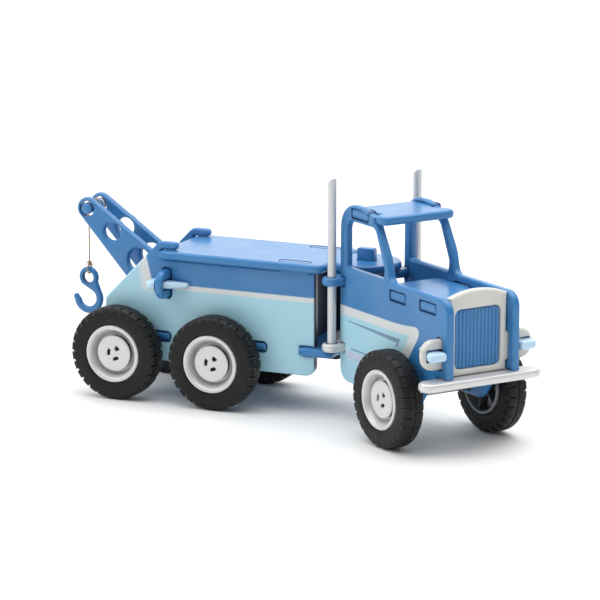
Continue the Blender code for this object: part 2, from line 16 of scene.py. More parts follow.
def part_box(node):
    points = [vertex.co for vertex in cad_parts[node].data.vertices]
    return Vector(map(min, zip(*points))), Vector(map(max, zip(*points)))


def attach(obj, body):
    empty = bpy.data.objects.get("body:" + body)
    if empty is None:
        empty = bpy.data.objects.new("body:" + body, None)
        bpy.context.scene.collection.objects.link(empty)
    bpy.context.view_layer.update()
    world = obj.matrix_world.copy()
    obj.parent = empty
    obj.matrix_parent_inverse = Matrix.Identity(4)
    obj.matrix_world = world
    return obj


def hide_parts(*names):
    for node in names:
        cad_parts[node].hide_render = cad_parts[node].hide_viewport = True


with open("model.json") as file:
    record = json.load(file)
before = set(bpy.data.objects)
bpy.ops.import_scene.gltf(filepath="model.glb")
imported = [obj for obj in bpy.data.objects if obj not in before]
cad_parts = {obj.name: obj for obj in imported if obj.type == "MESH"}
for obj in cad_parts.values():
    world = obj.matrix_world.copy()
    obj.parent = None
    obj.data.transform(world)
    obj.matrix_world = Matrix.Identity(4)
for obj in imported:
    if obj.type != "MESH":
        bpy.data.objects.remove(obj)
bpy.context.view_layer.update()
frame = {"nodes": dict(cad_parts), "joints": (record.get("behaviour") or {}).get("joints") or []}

MM = 0.001
JOINTS = {joint["name"]: joint for joint in frame["joints"]}
PIVOT = Vector(JOINTS["cab_swivel"]["pos_m"])
FRONT_AXLE = Vector(JOINTS["front_spin"]["pos_m"])
CAB_SIDEWAYS = Vector(JOINTS["front_spin"]["axis"])
CAB_TURN = math.atan2(-CAB_SIDEWAYS.x, CAB_SIDEWAYS.y)
REAR = Matrix.Translation((PIVOT.x, PIVOT.y, 0.0))
CAB = Matrix.Translation((FRONT_AXLE.x, FRONT_AXLE.y, 0.0)) @ Matrix.Rotation(CAB_TURN, 4, "Z")
FRAMES = {"rear": REAR, "cab": CAB}
BODY = {"rear": "rear_body", "cab": "cab"}


# Camera, floor and light

CAMERA = (
    (0.91166, -0.09117, 0.40070, 0.88086),
    (0.41094, 0.19799, -0.88990, -1.95108),
    (0.00180, 0.97595, 0.21797, 0.55918),
    (0.0, 0.0, 0.0, 1.0),
)
LENS_MM = 192.6425


def add_camera():
    data = bpy.data.cameras.new("camera")
    data.sensor_width = 36.0
    data.lens = LENS_MM
    data.clip_end = 50.0
    camera = bpy.data.objects.new("camera", data)
    camera.matrix_world = Matrix(CAMERA)
    bpy.context.scene.collection.objects.link(camera)
    bpy.context.scene.camera = camera


def add_floor():
    size = 6.0
    data = bpy.data.meshes.new("floor")
    corners = [(-size, -size, 0), (size, -size, 0), (size, size, 0), (-size, size, 0)]
    data.from_pydata(corners, [], [(0, 1, 2, 3)])
    floor = bpy.data.objects.new("floor", data)
    bpy.context.scene.collection.objects.link(floor)
    material = bpy.data.materials.new("floor_white")
    material.use_nodes = True
    shader = material.node_tree.nodes["Principled BSDF"]
    shader.inputs["Base Color"].default_value = (0.87, 0.87, 0.87, 1)
    shader.inputs["Roughness"].default_value = 0.6
    data.materials.append(material)


def add_light(name, energy, place, size, colour=(1, 1, 1), target=(0, 0, 0.06)):
    data = bpy.data.lights.new(name, "AREA")
    data.energy = energy
    data.size = size
    data.color = colour
    light = bpy.data.objects.new(name, data)
    light.location = place
    aim = Vector(target) - Vector(place)
    light.rotation_euler = aim.to_track_quat("-Z", "Y").to_euler()
    bpy.context.scene.collection.objects.link(light)


# Soft boxes of the studio: (direction, where the glow starts and is full, dim and full strength)
GLOWS = (
    ((-0.41, 0.91, 0.0), -0.15, 0.55, 0.22, 1.0),
    ((0.0, 0.0, 1.0), 0.45, 0.95, 0.22, 1.45),
    ((-0.4, 0.89, 0.22), 0.75, 0.93, 0.22, 1.4),
)


def add_world():
    """A room that is bright overhead and beyond the truck, and dim on the near side."""
    world = bpy.data.worlds.new("studio")
    world.use_nodes = True
    tree = world.node_tree
    place = tree.nodes.new("ShaderNodeTexCoord").outputs["Generated"]
    strength = None
    for direction, start, full, dim, bright in GLOWS:
        facing = tree.nodes.new("ShaderNodeVectorMath")
        facing.operation = "DOT_PRODUCT"
        facing.inputs[1].default_value = direction
        tree.links.new(place, facing.inputs[0])
        glow = tree.nodes.new("ShaderNodeMapRange")
        glow.interpolation_type = "SMOOTHSTEP"
        for key, number in (("From Min", start), ("From Max", full), ("To Min", dim),
                            ("To Max", bright)):
            glow.inputs[key].default_value = number
        tree.links.new(facing.outputs["Value"], glow.inputs["Value"])
        brighter = tree.nodes.new("ShaderNodeMath")
        brighter.operation = "MAXIMUM"
        brighter.inputs[0].default_value = 0.0
        if strength:
            tree.links.new(strength, brighter.inputs[0])
        tree.links.new(glow.outputs["Result"], brighter.inputs[1])
        strength = brighter.outputs[0]
    tree.links.new(strength, tree.nodes["Background"].inputs["Strength"])
    tree.nodes["Background"].inputs["Color"].default_value = (1, 1, 1, 1)
    bpy.context.scene.world = world
    bpy.context.scene.view_settings.view_transform = "Standard"


# Materials

class Nodes:
    """Short names for building a material's node tree."""

    def __init__(self, name):
        self.material = bpy.data.materials.new(name)
        self.material.use_nodes = True
        self.tree = self.material.node_tree
        self.shader = self.tree.nodes["Principled BSDF"]
        self.place = self.node("ShaderNodeTexCoord").outputs["Object"]

    def node(self, kind, **values):
        node = self.tree.nodes.new(kind)
        for key, value in values.items():
            setattr(node, key, value)
        return node

    def feed(self, socket, value):
        if isinstance(value, bpy.types.NodeSocket):
            self.tree.links.new(value, socket)
        else:
            socket.default_value = value

    def math(self, operation, *values, clamp=False):
        node = self.node("ShaderNodeMath", operation=operation, use_clamp=clamp)
        for socket, value in zip(node.inputs, values):
            self.feed(socket, value)
        return node.outputs[0]

    def mix(self, amount, one, two):
        node = self.node("ShaderNodeMix", data_type="RGBA")
        self.feed(node.inputs["Factor"], amount)
        for label, value in (("A", one), ("B", two)):
            socket = [s for s in node.inputs if s.name == label and s.type == "RGBA"][0]
            self.feed(socket, value if not isinstance(value, tuple) else (*value, 1.0))
        return [s for s in node.outputs if s.type == "RGBA"][0]

    def noise(self, scale, detail=3.0, stretch=None):
        """Noise with `scale` features per metre of the piece."""
        node = self.node("ShaderNodeTexNoise")
        node.inputs["Scale"].default_value = scale
        node.inputs["Detail"].default_value = detail
        place = self.place
        if stretch:
            mapping = self.node("ShaderNodeMapping")
            mapping.inputs["Scale"].default_value = stretch
            self.feed(mapping.inputs["Vector"], self.place)
            place = mapping.outputs[0]
        self.feed(node.inputs["Vector"], place)
        return node.outputs["Fac"]

    def levels(self, value, low, high, out_low, out_high):
        node = self.node("ShaderNodeMapRange", clamp=True)
        self.feed(node.inputs["Value"], value)
        for key, number in (("From Min", low), ("From Max", high),
                            ("To Min", out_low), ("To Max", out_high)):
            node.inputs[key].default_value = number
        return node.outputs[0]

    def bump(self, height, strength, distance):
        node = self.node("ShaderNodeBump")
        node.inputs["Strength"].default_value = strength
        node.inputs["Distance"].default_value = distance
        self.feed(node.inputs["Height"], height)
        self.feed(self.shader.inputs["Normal"], node.outputs[0])

    def axes(self):
        """The piece's x, y and z in millimetres."""
        split = self.node("ShaderNodeSeparateXYZ")
        self.feed(split.inputs[0], self.place)
        return [self.math("MULTIPLY", output, 1000.0) for output in split.outputs]

    def side_of(self, a, b, start, end, soft):
        """1 to the left of the line from start to end in the (a, b) plane, 0 to its right."""
        along = Vector(end) - Vector(start)
        normal = Vector((-along.y, along.x)).normalized()
        offset = -normal.dot(Vector(start))
        sum_ab = self.math("MULTIPLY_ADD", b, normal.y, offset)
        distance = self.math("MULTIPLY_ADD", a, normal.x, sum_ab)
        return self.levels(distance, -soft, soft, 0.0, 1.0)

    def corner(self, one, two, radius):
        """Distance outside two edges that meet in a rounded corner."""
        past_one = self.math("MAXIMUM", self.math("ADD", one, radius), 0.0)
        past_two = self.math("MAXIMUM", self.math("ADD", two, radius), 0.0)
        squares = self.math("MULTIPLY_ADD", past_one, past_one,
                            self.math("MULTIPLY", past_two, past_two))
        outside = self.math("SUBTRACT", self.math("SQRT", squares), radius)
        deep = self.math("MINIMUM", self.math("MAXIMUM", one, two), -radius)
        return self.math("ADD", outside, self.math("ADD", deep, radius))


BLUE = (0.031, 0.195, 0.46)
LIGHT_BLUE = (0.39, 0.68, 0.80)
CREAM = (0.68, 0.72, 0.72)
PALE_BLUE = (0.52, 0.72, 0.90)
# Near-black navy: painted shade for the dark gap between the body and the cab, and inside it
PAINTED_SHADE_NAVY = (0.008, 0.016, 0.05)
PINSTRIPE = (0.115, 0.225, 0.40)
LAVENDER = (0.56, 0.60, 0.74)


def paint_finish(nodes, colour, roughness=0.3, coat=0.2):
    """Satin gloss paint: faint cloudiness in colour, uneven sheen and a very fine orange peel."""
    cloud = nodes.levels(nodes.noise(28.0, 2.0), 0.3, 0.7, 0.0, 0.035)
    nodes.feed(nodes.shader.inputs["Base Color"], nodes.mix(cloud, colour, (0.85, 0.9, 0.95)))
    sheen = nodes.levels(nodes.noise(60.0, 2.0), 0.3, 0.7, roughness - 0.02, roughness + 0.03)
    nodes.feed(nodes.shader.inputs["Roughness"], sheen)
    nodes.shader.inputs["Specular IOR Level"].default_value = 0.36
    nodes.shader.inputs["Coat Weight"].default_value = coat
    nodes.shader.inputs["Coat Roughness"].default_value = 0.12
    nodes.bump(nodes.noise(420.0, 1.0), 0.04, 0.0001)


def plain_paint(name, colour, roughness=0.3, coat=0.2):
    nodes = Nodes(name)
    paint_finish(nodes, colour, roughness, coat)
    return nodes.material


def rear_side_paint():
    """Blue over light blue, parted by a cream band that widens up the slanted rear edge."""
    nodes = Nodes("rear_side_paint")
    x, y, z = nodes.axes()
    soft = 0.35
    above = nodes.side_of(x, z, (-152, 82.2), (-27, 82.2), soft)
    ahead = nodes.side_of(x, z, (-149.6, 80.0), (-155.2, 101.5), soft)
    ahead = nodes.math("SUBTRACT", 1.0, ahead)
    blue = nodes.math("MULTIPLY", above, ahead)
    top = nodes.side_of(x, z, (-188, 103.0), (-100, 103.0), soft)
    blue = nodes.math("MAXIMUM", blue, top)
    band = nodes.side_of(x, z, (-150, 78.6), (-27, 78.6), 0.5)
    ahead_band = nodes.side_of(x, z, (-158.5, 78.0), (-161.5, 101.5), 2.4)
    ahead_band = nodes.math("SUBTRACT", 1.0, ahead_band)
    fade = nodes.side_of(x, z, (-150, 76.5), (-27, 78.2), 1.8)
    rear_zone = nodes.levels(x, -150.0, -144.0, 0.0, 1.0)
    lower = nodes.math("MULTIPLY_ADD", rear_zone, nodes.math("SUBTRACT", band, fade), fade)
    cream = nodes.math("MULTIPLY", lower, ahead_band)
    under = nodes.mix(cream, LIGHT_BLUE, CREAM)
    # Painted shade: the front end's edge and the inner face ahead of the wheels are painted near-black
    # navy, standing in for the shade between the body and the cab
    edge = nodes.levels(x, -26.9, -26.5, 0.0, 1.0)
    inner = nodes.math("MULTIPLY", nodes.levels(nodes.math("ABSOLUTE", y), 23.6, 24.0, 1.0, 0.0),
                       nodes.levels(x, -62.0, -60.0, 0.0, 1.0))
    shaded = nodes.mix(nodes.math("MAXIMUM", edge, inner), nodes.mix(blue, under, BLUE), PAINTED_SHADE_NAVY)
    paint_finish(nodes, shaded)
    return nodes.material


def cab_side_paint():
    """Blue with a light blue flank inside a cream band, and fine dark pinstripes on the flank."""
    nodes = Nodes("cab_side_paint")
    x, _, z = nodes.axes()
    # How far outside the flank: past its slanted front edge and above its bowed top edge
    front = nodes.math("MULTIPLY_ADD", x, 0.82, nodes.math("MULTIPLY_ADD", z, -0.572, 29.98))
    bow = nodes.math("POWER", nodes.levels(x, -17.0, 39.0, 0.0, 2.0), 2.0)
    crown = nodes.math("SUBTRACT", z, nodes.math("MULTIPLY_ADD", bow, 1.8, 80.6))
    blue = nodes.levels(nodes.corner(front, crown, 8.5), -0.35, 0.35, 0.0, 1.0)
    inner_front = nodes.math("ADD", front, 7.8)
    inner_crown = nodes.math("ADD", crown, 6.1)
    cream = nodes.levels(nodes.corner(inner_front, inner_crown, 3.0), -0.7, 0.7, 0.0, 1.0)
    under = nodes.mix(cream, LIGHT_BLUE, CREAM)
    # Pinstripe: a wedge along z = 70 that turns down at x = -6 into a thin tail
    limit = nodes.side_of(x, z, (-9.3, 64.0), (-4.5, 70.7), 0.25)
    stripe = nodes.math("MULTIPLY", limit, nodes.side_of(x, z, (-70.0, 70.6), (-7.0, 67.5), 0.25))
    stripe = nodes.math("MULTIPLY", stripe, nodes.side_of(x, z, (-4.0, 70.7), (-70.0, 71.1), 0.25))
    stripe = nodes.math("MULTIPLY", stripe, nodes.levels(x, -70.0, -68.0, 0.0, 1.0))
    tail = nodes.side_of(x, z, (-11.6, 63.6), (-8.2, 68.4), 0.25)
    tail = nodes.math("MULTIPLY", nodes.math("SUBTRACT", 1.0, tail), limit)
    tail = nodes.math("MULTIPLY", tail, nodes.levels(z, 64.1, 64.6, 0.0, 1.0))
    tail = nodes.math("MULTIPLY", tail, nodes.levels(z, 70.3, 70.7, 1.0, 0.0))
    mark = nodes.math("MAXIMUM", stripe, tail)
    under = nodes.mix(nodes.math("MULTIPLY", mark, 0.9), under, PINSTRIPE)
    # Lower line with a lavender patch under it, both short
    low_line = nodes.math("MULTIPLY", nodes.levels(z, 51.3, 51.7, 0.0, 1.0),
                          nodes.levels(z, 52.3, 52.7, 1.0, 0.0))
    low_line = nodes.math("MULTIPLY", low_line, nodes.levels(x, -65.5, -64.5, 0.0, 1.0))
    patch = nodes.math("MULTIPLY", nodes.levels(z, 43.0, 47.0, 0.0, 1.0),
                       nodes.levels(z, 50.0, 50.8, 1.0, 0.0))
    patch = nodes.math("MULTIPLY", patch, nodes.levels(x, -71.5, -69.0, 0.0, 0.9))
    short = nodes.levels(x, -46.0, -45.0, 1.0, 0.0)
    under = nodes.mix(nodes.math("MULTIPLY", patch, short), under, LAVENDER)
    low_line = nodes.math("MULTIPLY", nodes.math("MULTIPLY", low_line, short), 0.9)
    under = nodes.mix(low_line, under, PINSTRIPE)
    paint_finish(nodes, nodes.mix(blue, under, BLUE))
    return nodes.material


def rubber():
    nodes = Nodes("rubber")
    dust = nodes.levels(nodes.noise(60.0, 4.0), 0.35, 0.75, 0.0, 0.12)
    colour = nodes.mix(dust, (0.006, 0.006, 0.0065), (0.028, 0.028, 0.03))
    nodes.shader.inputs["Specular IOR Level"].default_value = 0.3
    nodes.feed(nodes.shader.inputs["Base Color"], colour)
    nodes.feed(nodes.shader.inputs["Roughness"],
               nodes.levels(nodes.noise(300.0, 4.0), 0.3, 0.7, 0.42, 0.58))
    nodes.bump(nodes.noise(1500.0, 3.0), 0.25, 0.0002)
    return nodes.material


def metal(name, colour, roughness, metallic, brushed):
    """Satin metal or silver plastic with fine lines along `brushed`, the stretched axis."""
    nodes = Nodes(name)
    grain = nodes.noise(2200.0, 3.0, brushed)
    tint = nodes.levels(grain, 0.3, 0.7, 0.0, 0.12)
    darker = tuple(c * 0.82 for c in colour)
    nodes.feed(nodes.shader.inputs["Base Color"], nodes.mix(tint, colour, darker))
    nodes.feed(nodes.shader.inputs["Roughness"],
               nodes.levels(grain, 0.3, 0.7, roughness - 0.05, roughness + 0.07))
    nodes.shader.inputs["Metallic"].default_value = metallic
    nodes.bump(grain, 0.06, 0.0001)
    return nodes.material


def twine_material():
    nodes = Nodes("twine")
    fibre = nodes.noise(2600.0, 4.0, (1.0, 1.0, 0.25))
    amount = nodes.levels(fibre, 0.3, 0.7, 0.0, 1.0)
    colour = nodes.mix(amount, (0.30, 0.185, 0.10), (0.62, 0.45, 0.29))
    nodes.feed(nodes.shader.inputs["Base Color"], colour)
    nodes.shader.inputs["Roughness"].default_value = 0.9
    nodes.shader.inputs["Sheen Weight"].default_value = 0.3
    nodes.bump(fibre, 0.5, 0.0003)
    return nodes.material


def make_materials():
    return {
        "blue": plain_paint("blue_paint", BLUE),
        # The front bulkhead's near-black navy is painted shade for the dark recess behind the cab
        "navy": plain_paint("painted_shade_navy_paint", PAINTED_SHADE_NAVY, 0.5, 0.0),
        "rear_side": rear_side_paint(),
        "cab_side": cab_side_paint(),
        "cream": plain_paint("cream_paint", (0.66, 0.66, 0.62), 0.34),
        "pale_blue": plain_paint("pale_blue_paint", PALE_BLUE),
        "silver": metal("silver_paint", (0.72, 0.72, 0.715), 0.34, 0.3, (1.0, 1.0, 1.0)),
        "steel": metal("satin_steel", (0.67, 0.68, 0.69), 0.36, 0.45, (1.0, 1.0, 0.03)),
        "rim": metal("rim_silver", (0.68, 0.685, 0.69), 0.32, 0.2, (1.0, 1.0, 1.0)),
        "rubber": rubber(),
        # Lighter rubber for the lug edges: painted highlight, with real extra gloss
        "lug_highlight": metal("painted_highlight_rubber", (0.09, 0.09, 0.095), 0.3, 0.0, (1.0, 1.0, 1.0)),
        "back_ring": metal("wheel_back_grey", (0.28, 0.285, 0.29), 0.35, 0.4, (1.0, 1.0, 1.0)),
        "axle_steel": metal("axle_steel", (0.6, 0.6, 0.61), 0.28, 1.0, (1.0, 0.05, 1.0)),
        "dark_plastic": metal("dark_plastic", (0.05, 0.053, 0.058), 0.4, 0.0, (1.0, 1.0, 1.0)),
        # Dark paint on the walls of slots: painted shade in the gaps round the tabs
        "gap": plain_paint("slot_shadow", (0.016, 0.075, 0.21), 0.5, 0.0),
        # Near-black: painted shade behind the hub slots
        "well_shade": metal("painted_shade_well", (0.006, 0.006, 0.006), 0.6, 0.0, (1.0, 1.0, 1.0)),
        "twine": twine_material(),
    }


# Shapes

def finish_piece(mesh, name, material, body, matrix, slot, *nodes, sharp=35.0, second=None):
    """Makes the piece's object in its frame, with soft shading and hard corners above `sharp`."""
    bmesh.ops.recalc_face_normals(mesh, faces=mesh.faces)
    data = bpy.data.meshes.new(name)
    mesh.to_mesh(data)
    mesh.free()
    data.transform(Matrix.Scale(MM, 4))
    data.materials.append(MATERIALS[material])
    if second:
        data.materials.append(MATERIALS[second])
    data.shade_smooth()
    data.set_sharp_from_angle(angle=math.radians(sharp))
    piece = bpy.data.objects.new(name, data)
    piece.matrix_world = matrix
    bpy.context.scene.collection.objects.link(piece)
    weighted = piece.modifiers.new("weighted normals", "WEIGHTED_NORMAL")
    weighted.keep_sharp = True
    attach(piece, body)
    if nodes:
        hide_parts(*nodes)
    return piece


# The axes of a board's outline, and the one of its thickness, for each way a board lies
LAY = {
    "side": (0, 2, 1),
    "flat": (0, 1, 2),
    "cross": (1, 2, 0),
}
# An outline that turns by less than this at a point is on an arc there
SMOOTH_TURN = math.radians(32)


def area_of(loop):
    return sum(a.cross(b) for a, b in zip(loop, loop[1:] + loop[:1])) / 2


def read_board(node, matrix, lay):
    """Outline loops (the outer one first, material on their left) and face levels of a board."""
    a, b, t = LAY[lay]
    mesh = bmesh.new()
    mesh.from_mesh(frame["nodes"][node].data)
    mesh.transform(Matrix.Scale(1 / MM, 4) @ matrix.inverted())
    bmesh.ops.remove_doubles(mesh, verts=mesh.verts, dist=0.002)
    mesh.normal_update()
    level = {round(vert.co[t], 1) for vert in mesh.verts}
    low, high = min(level), max(level)
    cap = {face for face in mesh.faces
           if all(abs(vert.co[t] - high) < 0.06 for vert in face.verts)}
    follow = {}
    for face in cap:
        for loop in face.loops:
            if not any(other in cap for other in loop.edge.link_faces if other != face):
                follow[loop.vert] = loop.link_loop_next.vert
    loops = []
    while follow:
        start, here = follow.popitem()
        points = [Vector((start.co[a], start.co[b]))]
        while here != start:
            points.append(Vector((here.co[a], here.co[b])))
            here = follow.pop(here)
        loops.append(points)
    mesh.free()
    loops.sort(key=lambda loop: -abs(area_of(loop)))
    facing = 1 if area_of(loops[0]) > 0 else -1
    if facing < 0:
        loops = [loop[::-1] for loop in loops]
    return loops, low, high


# An edge this many times longer than its neighbour is straight, and so is one that its ends follow
STRAIGHT_RATIO = 1.8
STRAIGHT_COSINE = 0.9995


def fine(loop, steps=4):
    """The loop with each chord of an arc drawn as a curve of `steps` pieces."""
    count = len(loop)
    edges = [loop[(i + 1) % count] - loop[i] for i in range(count)]
    tangents = []
    for i in range(count):
        before, after = edges[i - 1], edges[i]
        if abs(before.angle_signed(after, 0.0)) > SMOOTH_TURN:
            tangents.append((before.normalized(), after.normalized()))
        elif before.length > STRAIGHT_RATIO * after.length:
            tangents.append((before.normalized(),) * 2)
        elif after.length > STRAIGHT_RATIO * before.length:
            tangents.append((after.normalized(),) * 2)
        else:
            tangents.append(((before.normalized() + after.normalized()).normalized(),) * 2)
    points = []
    for i in range(count):
        start, end = loop[i], loop[(i + 1) % count]
        leave, reach = tangents[i][1], tangents[(i + 1) % count][0]
        points.append(start)
        straight = edges[i].normalized()
        if min(leave.dot(straight), reach.dot(straight)) > STRAIGHT_COSINE:
            continue
        length = edges[i].length
        for step in range(1, steps):
            s = step / steps
            points.append(
                start * (2 * s**3 - 3 * s**2 + 1) + leave * length * (s**3 - 2 * s**2 + s)
                + end * (3 * s**2 - 2 * s**3) + reach * length * (s**3 - s**2)
            )
    return points


def round_corners(loop, radius, steps=4):
    """The loop with every sharp corner rounded off about as far as an arc of the radius would."""
    points = []
    count = len(loop)
    for i in range(count):
        before = loop[i - 1] - loop[i]
        after = loop[(i + 1) % count] - loop[i]
        turn = abs(before.angle_signed(-after, 0.0))
        room = min(before.length, after.length) * 0.45
        if turn < SMOOTH_TURN or room < 0.2:
            points.append(loop[i])
            continue
        half = (math.pi - turn) / 2
        reach = min(radius / math.tan(half), room)
        start = loop[i] + before.normalized() * reach
        end = loop[i] + after.normalized() * reach
        for step in range(steps + 1):
            s = step / steps
            points.append(start * (1 - s) ** 2 + loop[i] * 2 * s * (1 - s) + end * s * s)
    return points


def insets(loop, depth):
    """How each point of the loop moves into the material for a rounding of that depth."""
    count = len(loop)
    edges = [loop[(i + 1) % count] - loop[i] for i in range(count)]
    reach = []
    mitres = []
    for i in range(count):
        before, after = edges[i - 1].normalized(), edges[i].normalized()
        left_one = Vector((-before.y, before.x))
        left_two = Vector((-after.y, after.x))
        mitres.append((left_one + left_two) / max(0.5, 1 + left_one.dot(left_two)))
        turn = math.atan2(before.cross(after), before.dot(after))
        if 0.01 < turn < SMOOTH_TURN:
            bend = min(edges[i - 1].length, edges[i].length) / turn
            reach.append(min(depth, 0.9 * bend))
        else:
            reach.append(depth)
    for _ in range(3):
        reach = [min(reach[i], (reach[i - 1] + reach[i] + reach[(i + 1) % count]) / 3)
                 for i in range(count)]
    return [mitre * far for mitre, far in zip(mitres, reach)]


def close_face(mesh, rims, a, b):
    """Fills a flat face of a board inside its rims, the outer one and those of its holes."""
    verts = [vert for rim in rims for vert in rim]
    flat = [Vector((vert.co[a], vert.co[b])) for vert in verts]
    edges = []
    for rim in rims:
        first = len(edges)
        edges += [(first + i, first + (i + 1) % len(rim)) for i in range(len(rim))]
    places, _, faces, origins, _, _ = delaunay_2d_cdt(flat, edges, [], 0, 1e-5)
    found = {}
    for face in faces:
        centre = sum((places[i] for i in face), Vector((0, 0))) / 3
        crossed = 0
        for one, two in edges:
            p, q = flat[one], flat[two]
            if (p.y > centre.y) != (q.y > centre.y):
                crossed += centre.x < p.x + (centre.y - p.y) * (q.x - p.x) / (q.y - p.y)
        if crossed % 2:
            corners = {}
            for i in face:
                if i not in found:
                    place = verts[0].co.copy()
                    place[a], place[b] = places[i]
                    found[i] = verts[origins[i][0]] if origins[i] else mesh.verts.new(place)
                corners[found[i]] = None
            if len(corners) == 3:
                mesh.faces.new(corners)


def rounded_board(loops, depths, lay, low, high, steps=4, dark=()):
    """A board whose edges are rounded over: each loop is a wall with a quarter round at each face.

    The walls of the loops numbered in `dark` take the piece's second material.
    """
    a, b, t = LAY[lay]
    mesh = bmesh.new()
    thickness = high - low
    rims = []
    for number, (loop, depth) in enumerate(zip(loops, depths)):
        depth = min(depth, thickness / 2 - 0.05)
        shift = insets(loop, depth)
        levels = []
        for step in range(steps + 1):
            swing = math.pi / 2 * step / steps
            levels.append((1 - math.sin(swing), depth * (1 - math.cos(swing))))
        heights = [(inset, low + rise) for inset, rise in levels]
        heights += [(inset, high - rise) for inset, rise in reversed(levels)]
        rings = []
        for inset, height in heights:
            ring = []
            for point, move in zip(loop, shift):
                flat = point + move * inset
                place = [0.0, 0.0, 0.0]
                place[a], place[b], place[t] = flat.x, flat.y, height
                ring.append(mesh.verts.new(place))
            rings.append(ring)
        count = len(loop)
        for one, two in zip(rings, rings[1:]):
            for i in range(count):
                j = (i + 1) % count
                wall = mesh.faces.new((one[i], one[j], two[j], two[i]))
                wall.material_index = int(number in dark)
        rims.append((rings[0], rings[-1]))
    for face_rims in zip(*rims):
        close_face(mesh, face_rims, a, b)
    return mesh


def span(loop):
    xs = [point.x for point in loop]
    ys = [point.y for point in loop]
    return min(max(xs) - min(xs), max(ys) - min(ys))


SLOT_SPAN = 12.0
TIP_THINNING = 0.45


def narrow(mesh, ahead, middle):
    """Thins a wedge towards its tip, which is at its high x end when `ahead` is 1, else its low."""
    reach = [ahead * vert.co.x for vert in mesh.verts]
    start, tip = (min(reach) + max(reach)) / 2, max(reach)
    for vert, far in zip(mesh.verts, reach):
        share = max(0.0, (far - start) / (tip - start))
        vert.co.z = middle + (vert.co.z - middle) * (1 - TIP_THINNING * share**2)


def board(node, where, lay, material, slot, depth=2.3, hole_depth=1.8, slot_depth=0.6,
          corner=0.6, slot_corner=3.2, slack=0.35, body=None, taper=None, shadow=True):
    """Replaces a board's CAD node by the same board with rounded edges and eased slots.

    A hole narrower than SLOT_SPAN is a slot: `slack` wider all round than in the CAD, with corners
    rounded to `slot_corner`. `shadow` paints its walls dark as painted shade, and `taper` thins a
    wedge's tip.
    """
    loops, low, high = read_board(node, FRAMES[where], lay)
    shaped = []
    depths = []
    dark = set()
    for i, loop in enumerate(loops):
        slotted = i > 0 and span(loop) < SLOT_SPAN
        shaped.append(fine(round_corners(loop, slot_corner if slotted else corner)))
        if slotted:
            shaped[-1] = [point + move for point, move in
                          zip(shaped[-1], insets(shaped[-1], slack))]
            depths.append(slot_depth)
            if shadow:
                dark.add(i)
        else:
            depths.append(depth if i == 0 else hole_depth)
    mesh = rounded_board(shaped, depths, lay, low, high, dark=dark)
    if taper:
        narrow(mesh, taper, (low + high) / 2)
    return finish_piece(mesh, f"{node}_painted", material, body or BODY[where], FRAMES[where], slot,
                        node, second="gap" if dark else None)


def circle(radius, count):
    angles = [2 * math.pi * i / count for i in range(count)]
    return [Vector((radius * math.cos(t), radius * math.sin(t))) for t in angles]


def turned(profile, count=96, closed=True):
    """Ring or solid turned about Y from (radius, y) points; radius 0 starts or ends on the axis."""
    mesh = bmesh.new()
    rings = []
    for radius, y in profile:
        if radius == 0.0:
            rings.append([mesh.verts.new((0.0, y, 0.0))])
            continue
        rings.append([mesh.verts.new((radius * math.cos(2 * math.pi * i / count), y,
                                      radius * math.sin(2 * math.pi * i / count)))
                      for i in range(count)])
    pairs = list(zip(rings, rings[1:]))
    if closed:
        pairs.append((rings[-1], rings[0]))
    for one, two in pairs:
        for i in range(count):
            j = (i + 1) % count
            corners = [one[i % len(one)], one[j % len(one)], two[j % len(two)], two[i % len(two)]]
            mesh.faces.new(list(dict.fromkeys(corners)))
    return mesh


def build_boards():
    rear_boards = [
        ("side_panel_right", "side", "rear_side", "two_tone"),
        ("side_panel_left", "side", "rear_side", "two_tone"),
        ("deck_panel", "flat", "blue", "blue"),
        ("chassis_plate", "flat", "blue", "blue"),
        # Front bulkhead painted near-black: painted shade in the gap before the cab
        ("front_bulkhead", "cross", "navy", "navy"),
        ("rear_cross_panel", "cross", "blue", "blue"),
        ("pivot_post", "side", "blue", "blue"),
        ("boom_plate_right", "side", "blue", "blue"),
        ("boom_plate_left", "side", "blue", "blue"),
        ("rear_key_right", "flat", "pale_blue", "pale_blue"),
        ("rear_key_left", "flat", "pale_blue", "pale_blue"),
    ]
    cab_boards = [
        ("cab_side_right", "side", "cab_side", "two_tone"),
        ("cab_side_left", "side", "cab_side", "two_tone"),
        ("roof_panel", "flat", "blue", "blue"),
        ("hood_panel", "flat", "blue", "blue"),
        ("grille_panel", "cross", "cream", "cream"),
        ("headlamp_key_right", "flat", "pale_blue", "pale_blue"),
        ("headlamp_key_left", "flat", "pale_blue", "pale_blue"),
        ("swivel_plate", "flat", "blue", "blue"),
        ("bumper_floor_plate", "flat", "silver", "silver"),
    ]
    special = {
        "rear_key_right": {"depth": 2.7, "taper": 1},
        "rear_key_left": {"depth": 2.7, "taper": 1},
        "headlamp_key_right": {"depth": 2.7, "taper": -1},
        "headlamp_key_left": {"depth": 2.7, "taper": -1},
        "roof_panel": {"depth": 2.3, "corner": 1.4},
        "front_bulkhead": {"depth": 0.4},
        "hood_panel": {"depth": 2.3, "corner": 1.4},
        "chassis_plate": {"depth": 2.7, "corner": 2.2},
        "bumper_floor_plate": {"depth": 2.3},
        "pivot_post": {"depth": 0.8},
        "side_panel_right": {"depth": 1.8},
        "side_panel_left": {"depth": 1.8},
        "cab_side_right": {"depth": 1.8},
        "cab_side_left": {"depth": 1.8},
        "boom_plate_right": {"slack": 0.7, "slot_depth": 0.9, "shadow": False},
        "boom_plate_left": {"slack": 0.7, "slot_depth": 0.9, "shadow": False},
    }
    for where, boards in (("rear", rear_boards), ("cab", cab_boards)):
        for node, lay, material, slot in boards:
            board(node, where, lay, material, slot, **special.get(node, {}))


# Wheels: profiles are (radius, distance from the truck's middle)

WHEEL_FACE = 49.6
WHEEL_BACK = 33.3
TYRE_BORE = 20.5
LUGS = 28
LUG_STEPS = ((0.0, 0.0), (0.05, 1.0), (0.2, 1.0), (0.25, 0.0), (0.5, 0.0), (0.75, 0.0))


